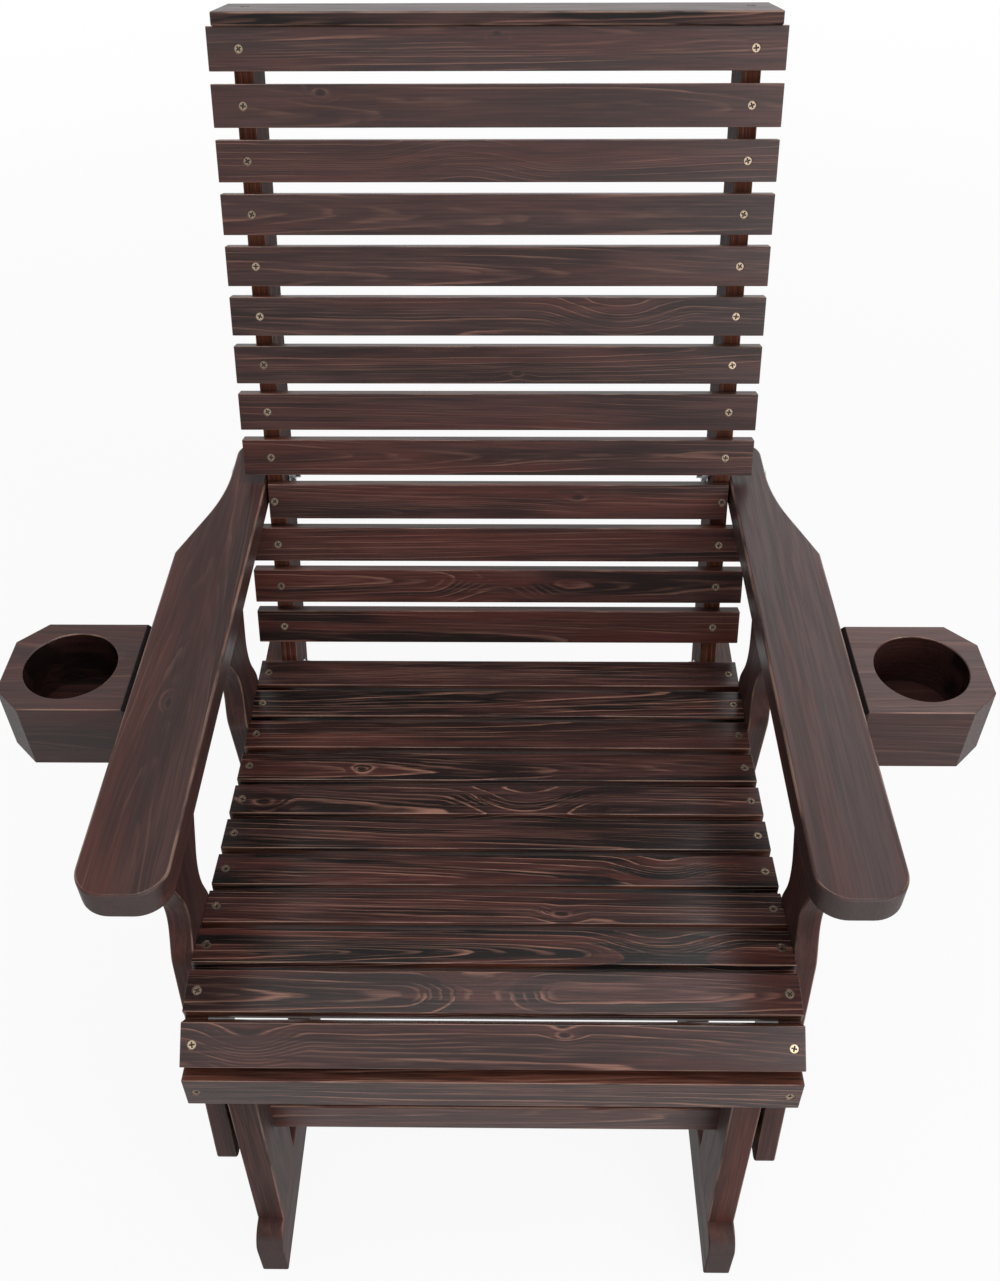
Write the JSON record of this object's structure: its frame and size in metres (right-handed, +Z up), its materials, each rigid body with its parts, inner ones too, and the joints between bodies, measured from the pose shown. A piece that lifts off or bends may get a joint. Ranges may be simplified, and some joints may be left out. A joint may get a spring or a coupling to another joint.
{
  "type": "wooden glider chair",
  "caption": "Slatted wooden armchair with cup holders on its arms, hung on swinging links in a low base so that the whole seat glides forward and back.",
  "frame": {"origin": "on the floor, under the middle of the chair's bounding box", "axes": "+X to the right seen from the front, +Y to the back, +Z up"},
  "size_m": [0.89, 0.7832, 1.061],
  "materials": {
    "stained_wood": "dark reddish-brown stain under a semi-gloss varnish",
    "brass_screw": "dull yellow zinc",
    "zinc_steel": "bright zinc plate",
    "link_steel": "black powder coat",
    "bush": "sintered bronze"
  },
  "bodies": {
    "base": {"base_front_leg_left": "stained_wood", "base_front_leg_right": "stained_wood", "base_front_rail": "stained_wood", "base_pivot_bolts": "zinc_steel", "base_pivot_nuts": "zinc_steel", "base_rear_leg_left": "stained_wood", "base_rear_leg_right": "stained_wood", "base_rear_rail": "stained_wood", "runner_left": "stained_wood", "runner_right": "stained_wood"},
    "front_link_left": {"front_link_left": "link_steel", "front_link_bushes_left": "bush"},
    "front_link_right": {"front_link_right": "link_steel", "front_link_bushes_right": "bush"},
    "rear_link_left": {"rear_link_left": "link_steel", "rear_link_bushes_left": "bush"},
    "rear_link_right": {"rear_link_right": "link_steel", "rear_link_bushes_right": "bush"},
    "seat": {"arm_left": "stained_wood", "arm_right": "stained_wood", "back_cap": "stained_wood", "back_slat_01": "stained_wood", "back_slat_02": "stained_wood", "back_slat_03": "stained_wood", "back_slat_04": "stained_wood", "back_slat_05": "stained_wood", "back_slat_06": "stained_wood", "back_slat_07": "stained_wood", "back_slat_08": "stained_wood", "back_slat_09": "stained_wood", "back_slat_10": "stained_wood", "back_slat_11": "stained_wood", "back_slat_12": "stained_wood", "back_slat_13": "stained_wood", "back_upright_left": "stained_wood", "back_upright_right": "stained_wood", "cup_holder_left": "stained_wood", "cup_holder_right": "stained_wood", "frame_bolts": "zinc_steel", "front_post_left": "stained_wood", "front_post_right": "stained_wood", "lock_nuts": "zinc_steel", "rear_post_left": "stained_wood", "rear_post_right": "stained_wood", "seat_pivot_bolts": "zinc_steel", "seat_rail_left": "stained_wood", "seat_rail_right": "stained_wood", "seat_slat_01": "stained_wood", "seat_slat_02": "stained_wood", "seat_slat_03": "stained_wood", "seat_slat_04": "stained_wood", "seat_slat_05": "stained_wood", "seat_slat_06": "stained_wood", "seat_slat_07": "stained_wood", "seat_slat_08": "stained_wood", "seat_slat_09": "stained_wood", "seat_slat_10": "stained_wood", "seat_slat_11": "stained_wood", "seat_slat_12": "stained_wood", "wood_screws": "brass_screw"}
  },
  "joints": [
    {"name": "glide", "type": "hinge", "parent": "base", "child": "front_link_left", "pos_m": [-0.2595, -0.30157, 0.28], "axis": [1, 0, 0], "range_deg": [-20, 20]},
    {"name": "seat_pivot", "type": "hinge", "parent": "front_link_left", "child": "seat", "pos_m": [-0.2595, -0.30157, 0.158], "axis": [1, 0, 0], "range_deg": [-20, 20]},
    {"name": "front_link_right_swing", "type": "hinge", "parent": "base", "child": "front_link_right", "pos_m": [0.2595, -0.30157, 0.28], "axis": [1, 0, 0], "range_deg": [-20, 20]},
    {"name": "rear_link_left_swing", "type": "hinge", "parent": "base", "child": "rear_link_left", "pos_m": [-0.2595, 0.08243, 0.28], "axis": [1, 0, 0], "range_deg": [-20, 20]},
    {"name": "rear_link_right_swing", "type": "hinge", "parent": "base", "child": "rear_link_right", "pos_m": [0.2595, 0.08243, 0.28], "axis": [1, 0, 0], "range_deg": [-20, 20]}
  ],
  "couplings": [
    {"joint": "seat_pivot", "follows": "glide", "ratio": -1},
    {"joint": "front_link_right_swing", "follows": "glide", "ratio": 1},
    {"joint": "rear_link_left_swing", "follows": "glide", "ratio": 1},
    {"joint": "rear_link_right_swing", "follows": "glide", "ratio": 1}
  ]
}
